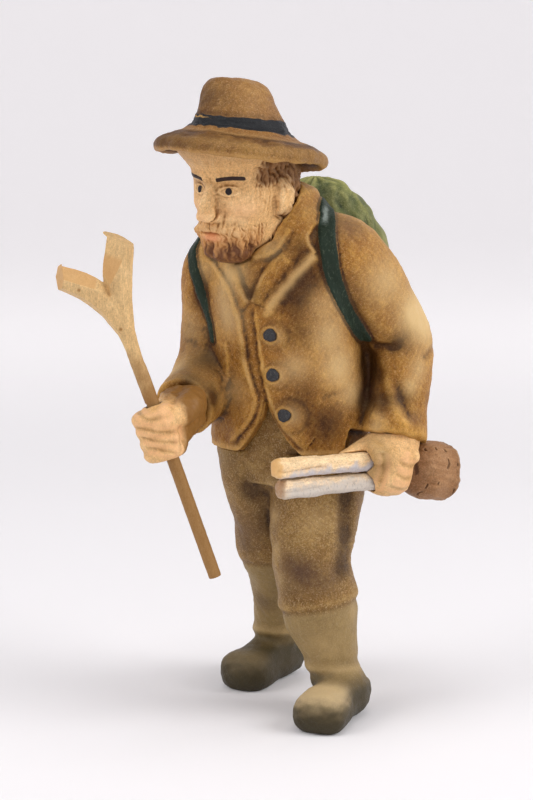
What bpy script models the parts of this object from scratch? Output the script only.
"""Carved and painted wooden figurine: a bearded wood gatherer walking with a forked staff.

The figure stands on its two boot soles, faces -Y and has its left hand towards +X.  It is glued up
from separately carved blocks: legs, jacket, head, hat, two hands, rucksack, log and two sticks.
The staff is the only loose piece: it slides up out of the bored right fist.

The outlines below are in figure millimetres, the millimetres of a figure of REFERENCE_HEIGHT.
Fits, bores, dowels and glue gaps are true millimetres and have names of their own.
"""

import bpy
import numpy as np
from mathutils import Matrix, Vector

MM = 0.001

# Overall sizes
REFERENCE_HEIGHT = 120.0            # the nominal height that the outlines are drawn for
STANDING_HEIGHT = 120.0 * MM        # sole to the top of the hat
BODY_BREADTH = 1.0                  # side-to-side factor of the jacket's trunk, 1 as drawn

# Staff and its bore
STAFF_DIAMETER = 2.4 * MM
STAFF_CLEARANCE = 0.3 * MM          # all round, in the fist
STAFF_BELOW_FIST = 28.0             # figure millimetres from the fist's middle to the tip
STAFF_ABOVE_FIST = 9.0              # and to where the shaft starts to swell into the fork

# Fuel wood
STICK_DIAMETER = 3.5 * MM
STICK_REACH = 24.6                  # figure millimetres, from the hand's middle to the sawn front end
LOWER_STICK_SHORTER = 0.9
LOG_DIAMETER = 11.2 * MM
LOG_REACH = 14.4

# Hat
BRIM_RADIUS = 15.5
CROWN_RADIUS = 9.2
CROWN_HEIGHT = 10.8
CROWN_LEAN = (-0.14, -0.08, 0.0)    # sideways shift for each millimetre of height

# Joinery
GLUE_GAP = 0.3 * MM                 # left between glued faces
DOWEL_DIAMETER = 2.0 * MM
DOWEL_LENGTH = 7.0 * MM
WRIST_DOWEL_LENGTH = 5.4 * MM
DOWEL_CLEARANCE = 0.3 * MM          # all round and at each end
CARVED_CLEARANCE = 0.4 * MM         # where one carved surface is hollowed for another

UNIT = STANDING_HEIGHT / REFERENCE_HEIGHT
HEM_LEVEL = 49.8                    # the jacket's lower edge
SOLE_LEVEL = -0.6
NECK_FOOT = 83.0                    # the neck's flat foot, inside the jacket


# ---------------------------------------------------------------- vectors and frames

def vec(*numbers):
    return np.array(numbers, dtype=float)


def unit(vector):
    return vector / np.linalg.norm(vector)


def frame_along(direction, side):
    """Three unit axes: side made square to direction, the third one, and direction itself."""
    along = unit(direction)
    across = unit(side - along * (side @ along))
    return across, np.cross(along, across), along


FIST = vec(-11.65, -19.5, 55.9)
STAFF_AXIS = unit(vec(-0.297, -0.139, 0.945))
LEFT_GRIP = vec(21.6, 6.4, 47.2)
BUNDLE_AXIS = unit(vec(-0.56, -0.83, 0.02))
LOG_AXIS = unit(vec(0.56, 0.83, -0.12))
HEAD_CENTRE = vec(-2.5, -5.5, 99.5)
HAT_MIDDLE = (0.4, 0.6, 8.2)        # the middle of the hat's seat, in the head's own axes


def turned_axes(yaw, bow, roll):
    """Own axes as columns, left, back and top, for a yaw, a forward bow and a roll in degrees."""
    return (np.array(Matrix.Rotation(np.radians(yaw), 3, 'Z'))
            @ np.array(Matrix.Rotation(np.radians(bow), 3, 'X'))
            @ np.array(Matrix.Rotation(np.radians(roll), 3, 'Y')))


HEAD_AXES = turned_axes(-12.0, 9.0, 2.0)
HAT_AXES = turned_axes(-12.0, -8.0, 2.0)    # pushed back on the bowed head


def on_head(points):
    """Points in the head's own axes, moved to where the head is."""
    return HEAD_CENTRE + np.asarray(points, dtype=float) @ HEAD_AXES.T


# ---------------------------------------------------------------- carved shapes

def smooth_rows(rows, per_span):
    """Catmull-Rom through the rows, all columns together, per_span steps to each span."""
    rows = np.asarray(rows, dtype=float)
    ends = np.vstack([2 * rows[0] - rows[1], rows, 2 * rows[-1] - rows[-2]])
    t = np.linspace(0.0, 1.0, per_span, endpoint=False)[:, None]
    spans = []
    for k in range(len(rows) - 1):
        a, b, c, d = ends[k:k + 4]
        spans.append(0.5 * (2 * b + (c - a) * t + (2 * a - 5 * b + 4 * c - d) * t ** 2
                            + (3 * b - a - 3 * c + d) * t ** 3))
    spans.append(rows[-1:])
    return np.vstack(spans)


def limb(rows, side=(1.0, 0.0, 0.0), around=28, per_span=5, square=2.0, ends=0.7):
    """A closed tube round a path: each row is x, y, z, half width and half depth.

    A ring is centre + side * half_width * c + depth * half_depth * s, where c and s are the cosine
    and sine raised to 2 / square, so square 2 is an ellipse and more is boxier.  Each end is closed
    by a dome whose height is ends times the smaller half size.
    """
    path = smooth_rows(rows, per_span)
    centre = path[:, :3]
    tangent = np.gradient(centre, axis=0)
    tangent /= np.linalg.norm(tangent, axis=1)[:, None]
    half = path[:, 3:5]
    rise = np.radians([75.0, 50.0, 25.0])
    first = ends * half[0].min()
    last = ends * half[-1].min()
    centre = np.vstack([centre[0] - tangent[0] * first * np.sin(rise)[:, None], centre,
                        centre[-1] + tangent[-1] * last * np.sin(rise[::-1])[:, None]])
    half = np.vstack([half[0] * np.cos(rise)[:, None], half, half[-1] * np.cos(rise[::-1])[:, None]])
    tangent = np.vstack([np.repeat(tangent[:1], 3, 0), tangent, np.repeat(tangent[-1:], 3, 0)])
    side = np.asarray(side, dtype=float)
    across = side - tangent * (tangent @ side)[:, None]
    across /= np.linalg.norm(across, axis=1)[:, None]
    depth = np.cross(tangent, across)
    angle = np.linspace(0.0, 2 * np.pi, around, endpoint=False)
    c = np.sign(np.cos(angle)) * np.abs(np.cos(angle)) ** (2.0 / square)
    s = np.sign(np.sin(angle)) * np.abs(np.sin(angle)) ** (2.0 / square)
    rings = (centre[:, None] + across[:, None] * (half[:, :1] * c)[..., None]
             + depth[:, None] * (half[:, 1:] * s)[..., None])
    poles = np.vstack([centre[3] - tangent[0] * first, centre[-4] + tangent[-1] * last])
    return closed_tube(rings, poles)


def closed_tube(rings, poles):
    """Points and faces of a tube of rings, closed to a pole at each end, faces outwards."""
    count, around = rings.shape[:2]
    points = np.vstack([rings.reshape(-1, 3), poles])
    step = np.arange(around)
    following = (step + 1) % around
    faces = []
    for k in range(count - 1):
        low = k * around
        high = low + around
        faces += np.column_stack([low + step, low + following, high + following, high + step]).tolist()
    top = (count - 1) * around
    faces += np.column_stack([following, step, np.full(around, count * around)]).tolist()
    faces += np.column_stack([top + step, top + following, np.full(around, count * around + 1)]).tolist()
    return points, faces


def turned(profile, origin, axes, around=40, oval=1.0):
    """A turned solid: profile rows are radius and height, from the bottom pole to the top pole."""
    profile = np.asarray(profile, dtype=float)
    angle = np.linspace(0.0, 2 * np.pi, around, endpoint=False)
    local = np.stack([profile[1:-1, :1] * np.cos(angle), profile[1:-1, :1] * np.sin(angle) * oval,
                      np.repeat(profile[1:-1, 1:], around, 1)], axis=-1)
    poles = np.array([[0.0, 0.0, profile[0, 1]], [0.0, 0.0, profile[-1, 1]]])
    return closed_tube(origin + local @ axes.T, origin + poles @ axes.T)


# ---------------------------------------------------------------- Blender objects

def new_object(name, shapes, cutter=False):
    """One object holding the shapes, given in figure millimetres."""
    points = []
    faces = []
    offset = 0
    for shape_points, shape_faces in shapes:
        points.append(shape_points)
        faces += [[index + offset for index in face] for face in shape_faces]
        offset += len(shape_points)
    mesh = bpy.data.meshes.new(name)
    mesh.from_pydata((np.vstack(points) * UNIT).tolist(), [], faces)
    mesh.validate()
    obj = bpy.data.objects.new(name, mesh)
    bpy.context.collection.objects.link(obj)
    if cutter:
        obj.hide_render = True
        obj.display_type = 'WIRE'
    return obj


def settle(obj):
    """Replace the object's mesh by what its modifiers make of it."""
    bpy.context.view_layer.update()
    graph = bpy.context.evaluated_depsgraph_get()
    mesh = bpy.data.meshes.new_from_object(obj.evaluated_get(graph))
    obj.modifiers.clear()
    obj.data = mesh
    return obj


def carved(name, shapes, triangles, voxel=0.5, soften=6, cutter=False):
    """Union of overlapping shapes as one softened surface, thinned to a number of triangles."""
    obj = new_object(name, shapes, cutter)
    remesh = obj.modifiers.new("one_surface", 'REMESH')
    remesh.mode = 'VOXEL'
    remesh.voxel_size = voxel * UNIT
    soft = obj.modifiers.new("soften", 'SMOOTH')
    soft.factor = 0.5
    soft.iterations = soften
    settle(obj)
    count = sum(len(face.vertices) - 2 for face in obj.data.polygons)
    thin = obj.modifiers.new("thin", 'DECIMATE')
    thin.ratio = min(1.0, triangles / count)
    thin.use_collapse_triangulate = True
    return settle(obj)


def boolean(obj, other, operation):
    modifier = obj.modifiers.new(operation.lower(), 'BOOLEAN')
    modifier.operation = operation
    modifier.solver = 'EXACT'
    modifier.object = other
    settle(obj)
    bpy.data.objects.remove(other)
    return obj


def block(point, outward, reach=90.0, depth=90.0):
    """A cutter block standing on a square face whose middle is point, on the side that outward shows."""
    axes = frame_along(vec(*outward), vec(0.31, 0.87, 0.38))
    corners = []
    for height in (0.0, depth):
        for a, b in ((-1, -1), (1, -1), (1, 1), (-1, 1)):
            corners.append(vec(*point) + axes[0] * a * reach + axes[1] * b * reach + axes[2] * height)
    faces = [[3, 2, 1, 0], [4, 5, 6, 7], [0, 1, 5, 4], [1, 2, 6, 5], [2, 3, 7, 6], [3, 0, 4, 7]]
    return new_object("block", [(np.array(corners), faces)], cutter=True)


def cut_flat(obj, point, outward):
    return boolean(obj, block(point, outward), 'DIFFERENCE')


def rod(name, start, end, radius, around=16, cutter=False):
    """A plain round rod between two points; start and end in figure millimetres, radius in metres."""
    axes = frame_along(end - start, vec(0.31, 0.87, 0.38))
    angle = np.linspace(0.0, 2 * np.pi, around, endpoint=False)
    ring = (np.cos(angle)[:, None] * axes[0] + np.sin(angle)[:, None] * axes[1]) * radius / UNIT
    points = np.vstack([start + ring, end + ring])
    step = np.arange(around)
    following = (step + 1) % around
    faces = np.column_stack([step, following, following + around, step + around]).tolist()
    faces.append(step[::-1].tolist())
    faces.append((step + around).tolist())
    return new_object(name, [(points, faces)], cutter)


def bored(obj, start, end, radius):
    return boolean(obj, rod("bore", start, end, radius, cutter=True), 'DIFFERENCE')


def hollowed_for(obj, neighbour, clearance):
    """Hollow obj where a neighbour lies, the neighbour swollen by the clearance."""
    swollen = neighbour.copy()
    swollen.data = neighbour.data.copy()
    bpy.context.collection.objects.link(swollen)
    swell = swollen.modifiers.new("swell", 'DISPLACE')
    swell.direction = 'NORMAL'
    swell.mid_level = 0.0
    swell.strength = clearance
    settle(swollen)
    return boolean(obj, swollen, 'DIFFERENCE')


PAINT = {
    "jacket_brown": ((0.36, 0.20, 0.075), 0.62),
    "trouser_olive": ((0.22, 0.16, 0.07), 0.66),
    "skin": ((0.62, 0.42, 0.23), 0.55),
    "hat_ochre": ((0.42, 0.24, 0.09), 0.64),
    "pale_wood": ((0.66, 0.47, 0.26), 0.5),
    "bark_brown": ((0.28, 0.14, 0.07), 0.7),
    "birch_grey": ((0.60, 0.50, 0.40), 0.55),
    "pack_green": ((0.10, 0.13, 0.045), 0.6),
    "dowel_beech": ((0.60, 0.42, 0.24), 0.6),
}


def painted(obj, finish):
    material = bpy.data.materials.get(finish)
    if material is None:
        colour, roughness = PAINT[finish]
        material = bpy.data.materials.new(finish)
        material.use_nodes = True
        shader = material.node_tree.nodes["Principled BSDF"]
        shader.inputs["Base Color"].default_value = (*colour, 1.0)
        shader.inputs["Roughness"].default_value = roughness
        shader.inputs["Metallic"].default_value = 0.0
    obj.data.materials.clear()
    obj.data.materials.append(material)
    obj.data.shade_smooth()
    obj.data.set_sharp_from_angle(angle=np.radians(35.0))
    return obj


# ---------------------------------------------------------------- outlines of the carved blocks
# Limb rows are x, y, z, half width and half depth.

LEFT_LEG = [(7.2, 9.0, 52.0, 8.4, 9.6), (7.2, 8.2, 44.0, 8.7, 9.6), (7.2, 5.4, 35.0, 8.3, 8.5),
            (7.9, 3.2, 28.5, 7.2, 7.9), (8.6, 4.2, 23.6, 7.3, 7.7), (9.2, 4.9, 18.6, 6.7, 7.2),
            (10.4, 5.5, 13.2, 5.6, 6.1), (11.2, 5.9, 9.5, 5.0, 5.7), (11.6, 6.2, 6.0, 4.6, 5.4)]
RIGHT_LEG = [(-6.3, 9.8, 52.0, 8.0, 9.2), (-5.9, 10.2, 43.0, 7.4, 8.6), (-5.3, 12.0, 35.0, 6.4, 7.4),
             (-5.6, 13.8, 29.6, 6.7, 7.0), (-6.4, 17.2, 24.0, 5.3, 5.9), (-7.2, 20.4, 17.6, 4.6, 5.2),
             (-8.4, 23.2, 12.0, 4.9, 5.4), (-9.0, 24.2, 8.0, 4.7, 5.2)]
# A boot runs from heel to toe: distance ahead of the heel, height, half width, half height
BOOT = [(3.6, 4.2, 4.3, 4.4), (8.0, 4.5, 4.7, 4.7), (12.4, 3.9, 4.6, 4.3), (16.4, 3.4, 5.2, 4.2),
        (18.8, 3.3, 5.3, 4.2)]
TRUNK = [(0.8, 9.0, 45.0, 15.6, 11.4), (1.0, 8.4, 52.0, 15.5, 11.3), (1.3, 7.3, 61.0, 15.0, 11.0),
         (1.3, 5.8, 70.0, 15.0, 10.8), (1.2, 4.0, 79.0, 14.8, 10.5), (1.2, 2.8, 87.0, 13.2, 9.6),
         (1.5, 2.2, 92.5, 10.8, 8.6), (1.2, 2.0, 96.0, 8.4, 7.4)]
RIGHT_SLEEVE = [(-9.5, 2.5, 87.5, 5.4, 6.4), (-12.4, 3.4, 83.0, 6.1, 6.8), (-13.2, 4.6, 74.0, 6.0, 6.6),
                (-13.6, 4.2, 66.5, 6.2, 6.8), (-13.3, 0.0, 62.6, 6.2, 6.4), (-12.7, -5.0, 60.4, 6.0, 6.1),
                (-12.3, -9.4, 59.2, 5.8, 5.8), (-12.2, -12.5, 58.6, 5.7, 5.7)]
LEFT_SLEEVE = [(9.5, 2.6, 90.0, 5.6, 6.4), (14.6, 4.6, 87.0, 6.6, 7.0), (18.5, 9.6, 78.6, 6.5, 6.8),
               (20.8, 13.8, 71.4, 6.4, 6.6), (21.7, 13.4, 65.5, 5.8, 6.1), (21.9, 11.4, 59.6, 5.5, 5.6),
               (21.9, 10.0, 55.0, 6.2, 6.0), (21.9, 9.4, 52.0, 6.2, 6.0)]
COLLAR = [(-0.8, 3.0, 84.0, 9.6, 8.6), (-0.6, 2.2, 91.0, 10.0, 9.2), (-0.6, 1.6, 100.0, 10.0, 9.2)]
COLLAR_RIM = ((-1.5, -6.0, 90.0), (-0.26, -0.32, 1.0))   # a point on its top plane, and the plane's normal
SEAT_PLUG = [(0.9, 9.0, 44.0, 11.8, 8.6), (0.9, 8.2, 56.0, 11.2, 8.2), (0.9, 7.8, 60.0, 10.4, 7.6)]
SKIRT_OPENING = 61.5                # where the jacket's front edges part
NOTCH_SLIT = 0.25
NOTCH_SPREAD = 8.4
CUFF_REACH = 8.0                    # half the side of the block that trims a sleeve's end
CUFFS = {"right": ((-12.2, -10.2, 59.0), (0.03, -0.95, -0.25)),
         "left": ((21.9, 9.7, 53.6), (0.02, -0.22, -1.0))}
PACK = [(1.5, 19.5, 60.5, 10.5, 8.0), (1.5, 21.0, 66.0, 13.0, 9.4), (1.5, 22.0, 76.0, 14.0, 10.0),
        (1.4, 21.2, 85.0, 13.2, 9.2), (1.2, 19.2, 91.5, 10.2, 7.4), (1.0, 18.0, 95.2, 6.6, 5.2)]
PACK_FLAP = [(1.4, 24.6, 79.5, 11.6, 7.4), (1.4, 23.2, 85.6, 12.4, 8.0), (1.2, 20.2, 92.2, 10.4, 7.2),
             (1.0, 18.4, 95.8, 7.0, 5.2)]
PACK_POCKET = [(1.5, 28.6, 64.0, 6.6, 4.2), (1.5, 29.4, 70.0, 7.2, 4.6), (1.5, 29.2, 76.0, 6.6, 4.0)]
PACK_FRONT = ((0.0, 12.0, 76.0), (0.0, -0.96, -0.27))    # the bag ends here, inside the back
PACK_DOWELS = (67.0, 79.0)          # their levels
# The fork: along the staff above the fist, sideways in the fork's plane, and by how much its half
# width and half depth exceed the shaft's radius
FORK_STEM = [(STAFF_ABOVE_FIST, 0.0, 0.0, 0.0), (12.6, 0.0, 0.18, 0.12), (17.7, -0.1, 0.4, 0.25),
             (21.2, -0.3, 1.0, 0.5), (24.6, -0.6, 1.9, 0.8)]
FORK_UPPER = [(20.5, -0.2, 0.7, 0.4), (25.5, 0.7, 1.0, 0.8), (31.0, 2.2, 1.2, 1.0), (36.4, 4.2, 1.2, 1.1)]
FORK_SIDE = [(20.0, -0.2, 0.7, 0.4), (25.1, -1.7, 1.3, 0.9), (28.7, -4.0, 1.5, 1.1), (31.6, -6.6, 1.4, 1.1),
             (33.5, -8.9, 0.5, 0.6)]


def boot(heel, toe_out):
    """A clog-shaped boot, its heel's back at heel on the floor, its toe turned out by toe_out degrees."""
    turn = np.radians(toe_out)
    ahead = vec(-np.sin(turn), -np.cos(turn), 0.0)
    rows = []
    for distance, height, half_width, half_height in BOOT:
        centre = vec(*heel, 0.0) + ahead * distance
        rows.append((centre[0], centre[1], SOLE_LEVEL + height, half_width, half_height))
    return limb(rows, side=vec(np.cos(turn), -np.sin(turn), 0.0), square=2.5, ends=0.8)


def seat_plug(clearance=0.0):
    """The seat plug that stands on the legs and fills the jacket's skirt."""
    rows = np.array(SEAT_PLUG)
    rows[:, 3:5] += clearance / UNIT
    rows[-1, 2] += clearance / UNIT
    return limb(rows, around=36, per_span=2, ends=0.01)


def arc_limb(middle, axis, start, along, radius, thickness, sweep, steps=9):
    """A finger bent round an axis: start is its first direction from the axis, sweep in degrees."""
    out = unit(start - axis * (start @ axis))
    ahead = np.cross(axis, out)
    rows = []
    for angle in np.radians(np.linspace(0.0, sweep, steps)):
        centre = middle + axis * along + (out * np.cos(angle) + ahead * np.sin(angle)) * radius
        rows.append((*centre, thickness, thickness))
    return limb(rows, side=axis, around=14, per_span=2, ends=0.9)


def head_limb(rows, **shape):
    """A limb whose rows are in the head's own axes."""
    placed = [(*on_head(row[:3]), *row[3:]) for row in rows]
    return limb(placed, side=HEAD_AXES[:, 0], **shape)


def fork_limb(rows, **shape):
    """A limb whose rows are in the fork's plane: along the staff, then across it."""
    across = unit(np.cross(vec(0.417, -0.895, 0.156), STAFF_AXIS))
    across = across if across[0] > 0 else -across
    radius = STAFF_DIAMETER / 2 / UNIT
    placed = [(*(FIST + STAFF_AXIS * row[0] + across * row[1]), radius + row[2], radius + row[3])
              for row in rows]
    return limb(placed, side=across, **shape)


# ---------------------------------------------------------------- the blocks

def make_legs():
    seat = limb([(-4.5, 9.5, 47.5, 8.5, 8.5), (5.5, 8.5, 47.5, 8.5, 8.5)], side=(0.0, 1.0, 0.0))
    garter = limb([(8.3, 3.6, 25.6, 7.0, 7.4), (8.8, 4.4, 22.2, 7.6, 8.0), (9.0, 4.8, 20.4, 6.8, 7.2)])
    shapes = [limb(LEFT_LEG), limb(RIGHT_LEG), seat, garter, boot((14.1, 11.3), 0.0), boot((-8.0, 31.2), 9.0)]
    legs = carved("legs", shapes, 2500)
    cut_flat(legs, (0.0, 0.0, SOLE_LEVEL), (0.0, 0.0, -1.0))
    cut_flat(legs, (0.0, 0.0, HEM_LEVEL - GLUE_GAP / UNIT), (0.0, 0.0, 1.0))
    boolean(legs, new_object("seat_plug", [seat_plug()], cutter=True), 'UNION')
    return painted(legs, "trouser_olive")


def skirt_notch():
    """Wedge between the jacket's two rounded front corners, widening faster the lower it gets.

    Half width = NOTCH_SLIT + NOTCH_SPREAD * t ** 1.9, t running from 0 at the top to 1 below the hem.
    """
    rows = []
    for level in np.linspace(0.0, 1.0, 9):
        z = SKIRT_OPENING - (SKIRT_OPENING - HEM_LEVEL + 2.0) * level
        rows.append((1.4, -4.0, z, NOTCH_SLIT + NOTCH_SPREAD * level ** 1.9, 8.5))
    return limb(rows, per_span=1, around=16, square=6.0, ends=0.05)


def make_jacket():
    trunk = np.array(TRUNK)
    trunk[:, 3] *= BODY_BREADTH
    shapes = [limb(trunk, square=2.25), limb(RIGHT_SLEEVE), limb(LEFT_SLEEVE)]
    jacket = carved("jacket", shapes, 2700)
    collar = new_object("collar", [limb(COLLAR, around=36)], cutter=True)
    cut_flat(collar, *COLLAR_RIM)
    boolean(jacket, collar, 'UNION')
    cut_flat(jacket, (0.0, 0.0, HEM_LEVEL), (0.0, 0.0, -1.0))
    boolean(jacket, new_object("skirt_hollow", [seat_plug(GLUE_GAP)], cutter=True), 'DIFFERENCE')
    boolean(jacket, new_object("notch", [skirt_notch()], cutter=True), 'DIFFERENCE')
    for point, outward in CUFFS.values():
        boolean(jacket, block(point, outward, reach=CUFF_REACH, depth=12.0), 'DIFFERENCE')
    return painted(jacket, "jacket_brown")


def make_head():
    """Skull, face, beard, ears and a neck that is glued into the jacket's collar."""
    skull = head_limb([(0.0, 0.9, -6.0, 7.4, 8.4), (0.0, 0.6, 0.0, 8.5, 9.8), (0.0, 0.6, 4.6, 8.6, 10.0),
                       (0.0, 0.6, 8.0, 11.4, 12.0), (0.0, 0.6, 10.5, 12.0, 12.6)])
    jaw = head_limb([(0.0, -1.6, -2.0, 7.2, 7.2), (0.0, -3.2, -6.5, 6.3, 6.2), (0.0, -4.6, -9.6, 4.6, 4.6)])
    nose = head_limb([(0.0, -8.6, 3.0, 1.0, 1.0), (0.0, -10.0, 0.0, 1.25, 1.4), (0.0, -11.0, -2.6, 1.8, 1.7)],
                     around=14)
    beard = head_limb([(0.0, -4.2, -5.0, 6.2, 5.6), (0.0, -5.2, -7.8, 5.6, 5.0), (0.0, -6.2, -10.0, 3.4, 3.4)])
    nape = head_limb([(0.0, 3.4, -8.5, 7.0, 6.4), (0.0, 3.2, -3.0, 8.6, 8.0), (0.0, 2.4, 3.0, 9.0, 8.8)])
    ears = [head_limb([(x, 0.6, -3.6, 0.9, 1.4), (x * 1.04, 0.9, -0.6, 1.2, 2.1), (x, 1.2, 1.8, 0.9, 1.6)],
                      around=14) for x in (-9.0, 9.0)]
    neck = limb([(*on_head((0.0, 2.6, -6.0)), 6.0, 6.0), (-1.6, 1.6, 88.0, 5.6, 5.6),
                 (-1.5, 2.2, 82.0, 5.4, 5.4)], ends=0.3)
    head = carved("head", [skull, jaw, nose, beard, nape, *ears, neck], 2000, voxel=0.4, soften=4)
    hat_face = on_head(HAT_MIDDLE) - HAT_AXES[:, 2] * GLUE_GAP / UNIT
    cut_flat(head, hat_face, HAT_AXES[:, 2])
    cut_flat(head, (0.0, 0.0, NECK_FOOT), (0.0, 0.0, -1.0))
    return painted(head, "skin")


def make_hat():
    """Crown and down-turned brim on the hat's axis, the crown leaning a little as it rises."""
    brim = [(0.0, 0.0), (BRIM_RADIUS - 3.4, 0.0), (BRIM_RADIUS - 2.3, -1.0), (BRIM_RADIUS - 1.4, -2.3),
            (BRIM_RADIUS - 0.6, -2.8), (BRIM_RADIUS, -2.2), (BRIM_RADIUS - 0.05, -1.1),
            (BRIM_RADIUS - 0.9, -0.2), (BRIM_RADIUS - 2.4, 0.7),
            ((BRIM_RADIUS + CROWN_RADIUS) / 2 - 1.0, 1.5), (CROWN_RADIUS + 0.4, 2.3)]
    crown = [(CROWN_RADIUS - 1.0, 3.4), (CROWN_RADIUS - 1.9, 6.8), (CROWN_RADIUS - 2.6, CROWN_HEIGHT - 0.9),
             (CROWN_RADIUS - 3.9, CROWN_HEIGHT + 0.7), (CROWN_RADIUS - 6.0, CROWN_HEIGHT + 1.3),
             (0.0, CROWN_HEIGHT + 1.4)]
    seat = on_head(HAT_MIDDLE)
    points, faces = turned(brim + crown, seat, HAT_AXES, around=36, oval=1.06)
    height = (points - seat) @ HAT_AXES[:, 2]
    points = points + np.maximum(height, 0.0)[:, None] * vec(*CROWN_LEAN)
    return painted(new_object("hat", [(points, faces)]), "hat_ochre")


def make_right_hand():
    """A fist round the staff, with the bore the staff slides in."""
    out = vec(-1.0, 0.0, -0.3)
    point, outward = CUFFS["right"]
    palm = limb([(-12.2, -7.0, 59.8, 4.4, 4.4), (-12.0, -12.5, 58.4, 4.5, 4.6),
                 (*(FIST + vec(-0.2, 1.2, 0.6)), 4.4, 4.8)])
    core = limb([(*(FIST - STAFF_AXIS * 2.6), 3.6, 3.6), (*(FIST + STAFF_AXIS * 3.0), 3.9, 3.9)], square=2.4)
    fingers = [arc_limb(FIST, STAFF_AXIS, out + vec(0.0, 0.5, 0.0), along, 3.5, 1.42, 170.0)
               for along in (3.5, 1.2, -1.1, -3.3)]
    thumb = limb([(-9.4, -12.0, 60.8, 2.5, 2.7), (-8.3, -16.4, 60.2, 2.2, 2.3), (-8.9, -20.6, 58.6, 1.8, 1.9),
                  (-10.8, -23.6, 57.6, 1.4, 1.5)], around=16)
    hand = carved("right_hand", [palm, core, *fingers, thumb], 1200, voxel=0.3, soften=2)
    cut_flat(hand, vec(*point) + unit(vec(*outward)) * GLUE_GAP / UNIT, -vec(*outward))
    bored(hand, FIST - STAFF_AXIS * 9.0, FIST + STAFF_AXIS * 9.0, STAFF_DIAMETER / 2 + STAFF_CLEARANCE)
    return painted(hand, "skin")


def make_left_hand():
    """The hand that grips the fuel wood, hollowed for the log and bored for the two sticks."""
    point, outward = CUFFS["left"]
    palm = limb([(21.9, 10.0, 55.5, 4.8, 4.6), (21.9, 9.2, 52.4, 5.0, 4.7), (21.6, 7.4, 49.4, 5.4, 5.4),
                 (21.4, 6.2, 45.6, 5.0, 4.9)], square=2.3)
    fingers = [arc_limb(LEFT_GRIP, BUNDLE_AXIS, vec(0.85, -0.5, 0.75), along, 4.4, 1.5, 150.0)
               for along in (3.6, 1.2, -1.2, -3.6)]
    thumb = limb([(18.6, 7.4, 51.6, 2.2, 2.2), (17.0, 3.4, 50.4, 2.0, 2.0), (15.8, 0.0, 49.6, 1.6, 1.6)],
                 around=16)
    hand = carved("left_hand", [palm, *fingers, thumb], 1200, voxel=0.3, soften=2)
    cut_flat(hand, vec(*point) + unit(vec(*outward)) * GLUE_GAP / UNIT, -vec(*outward))
    for side in (1.0, -1.0):
        start, end = stick_ends(side)
        bored(hand, start - BUNDLE_AXIS * GLUE_GAP / UNIT, end, STICK_DIAMETER / 2 + GLUE_GAP)
    return painted(hand, "skin")


def stick_ends(side):
    """A stick's two ends: side 1 for the upper stick, -1 for the lower."""
    offset = vec(0.0, 0.0, 0.5 * side * (STICK_DIAMETER + GLUE_GAP) / UNIT)
    reach = STICK_REACH if side > 0 else STICK_REACH - LOWER_STICK_SHORTER
    return LEFT_GRIP + offset + BUNDLE_AXIS * 2.4, LEFT_GRIP + offset + BUNDLE_AXIS * reach


def make_stick(name, side):
    """A split stick with a sawn front end."""
    start, end = stick_ends(side)
    radius = STICK_DIAMETER / 2 / UNIT
    rows = [(*start, radius, radius), (*(start * 0.5 + end * 0.5), radius, radius), (*end, radius, radius)]
    stick = new_object(name, [limb(rows, side=(0.0, 0.0, 1.0), around=16, per_span=2, square=2.3, ends=0.12)])
    return painted(stick, "birch_grey")


def make_log():
    """A log with a lopped, tapered front end held in the hand."""
    radius = LOG_DIAMETER / 2 / UNIT
    rows = []
    for distance, share in ((4.0, 0.55), (6.0, 0.82), (8.4, 0.98), (11.0, 1.0), (LOG_REACH - 1.4, 0.97)):
        rows.append((*(LEFT_GRIP + LOG_AXIS * distance), radius * share, radius * share))
    log = new_object("log", [limb(rows, side=(0.0, 0.0, 1.0), around=20, per_span=2, square=2.2, ends=0.3)])
    return painted(log, "bark_brown")


def make_pack():
    """The rucksack, hollowed to sit on the jacket's back."""
    pack = carved("rucksack", [limb(PACK, square=2.5), limb(PACK_FLAP, square=2.4),
                               limb(PACK_POCKET, square=2.8)], 1200, voxel=0.5, soften=3)
    cut_flat(pack, *PACK_FRONT)
    return painted(pack, "pack_green")


def make_staff():
    """One shaft whose head forks into two prongs; its own origin is in the fist, on its axis."""
    tip = FIST - STAFF_AXIS * STAFF_BELOW_FIST
    staff = rod("staff", tip, FIST + STAFF_AXIS * (STAFF_ABOVE_FIST + 1.0), STAFF_DIAMETER / 2)
    for rows in (FORK_STEM, FORK_UPPER, FORK_SIDE):
        prong = new_object("prong", [fork_limb(rows, around=12, per_span=3, square=2.6, ends=0.1)], cutter=True)
        boolean(staff, prong, 'UNION')
    move_origin(staff, FIST * UNIT)
    return painted(staff, "pale_wood")


def move_origin(obj, place):
    """Put the object's origin at place without moving its surface."""
    obj.data.transform(Matrix.Translation(-Vector(place)))
    obj.location = Vector(place)
    bpy.context.view_layer.update()


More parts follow.
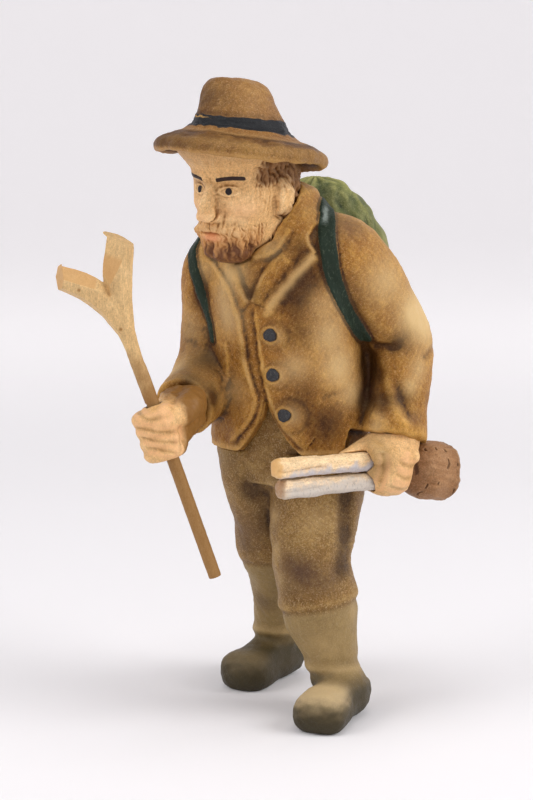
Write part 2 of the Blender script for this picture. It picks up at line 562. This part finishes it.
def make_dowel(name, middle, axis, blocks, length=DOWEL_LENGTH):
    """A dowel across a glued joint, with its hole bored in each of the blocks."""
    reach = unit(axis) * length / 2 / UNIT
    spare = unit(axis) * DOWEL_CLEARANCE / UNIT
    for block in blocks:
        bored(block, middle - reach - spare, middle + reach + spare, DOWEL_DIAMETER / 2 + DOWEL_CLEARANCE)
    return painted(rod(name, middle - reach, middle + reach, DOWEL_DIAMETER / 2), "dowel_beech")


def stand_on_origin(pieces):
    """Hang every piece on one empty, moved so that the figure's box stands centred on the origin."""
    bpy.context.view_layer.update()
    corners = [piece.matrix_world @ vertex.co for piece in pieces for vertex in piece.data.vertices]
    corners = np.array(corners)
    low = corners.min(axis=0)
    high = corners.max(axis=0)
    root = bpy.data.objects.new("figurine", None)
    bpy.context.collection.objects.link(root)
    for piece in pieces:
        piece.parent = root
    root.location = (-(low[0] + high[0]) / 2, -(low[1] + high[1]) / 2, -low[2])


def main():
    for obj in list(bpy.data.objects):
        bpy.data.objects.remove(obj)
    legs = make_legs()
    jacket = make_jacket()
    head = make_head()
    hat = make_hat()
    right_hand = make_right_hand()
    left_hand = make_left_hand()
    staff = make_staff()
    upper_stick = make_stick("stick_upper", 1.0)
    lower_stick = make_stick("stick_lower", -1.0)
    log = make_log()
    pack = make_pack()
    hollowed_for(jacket, head, CARVED_CLEARANCE)
    hollowed_for(left_hand, log, CARVED_CLEARANCE)
    hollowed_for(left_hand, legs, GLUE_GAP)
    hollowed_for(left_hand, jacket, GLUE_GAP)
    hollowed_for(pack, jacket, GLUE_GAP)
    hollowed_for(pack, head, CARVED_CLEARANCE)
    dowels = [
        make_dowel("hat_dowel", on_head(HAT_MIDDLE), HAT_AXES[:, 2], (hat, head)),
    ]
    for side, hand in (("right", right_hand), ("left", left_hand)):
        dowels.append(make_dowel(side + "_wrist_dowel", vec(*CUFFS[side][0]), vec(*CUFFS[side][1]),
                                 (jacket, hand), WRIST_DOWEL_LENGTH))
    for name, level in zip(("pack_dowel_lower", "pack_dowel_upper"), PACK_DOWELS):
        back = vec(0.5, 16.6 - 0.28 * (level - 70.0), level)
        dowels.append(make_dowel(name, back, vec(0.0, 0.96, 0.27), (jacket, pack)))
    stand_on_origin([legs, jacket, head, hat, right_hand, left_hand, staff, upper_stick, lower_stick, log,
                     pack, *dowels])


main()
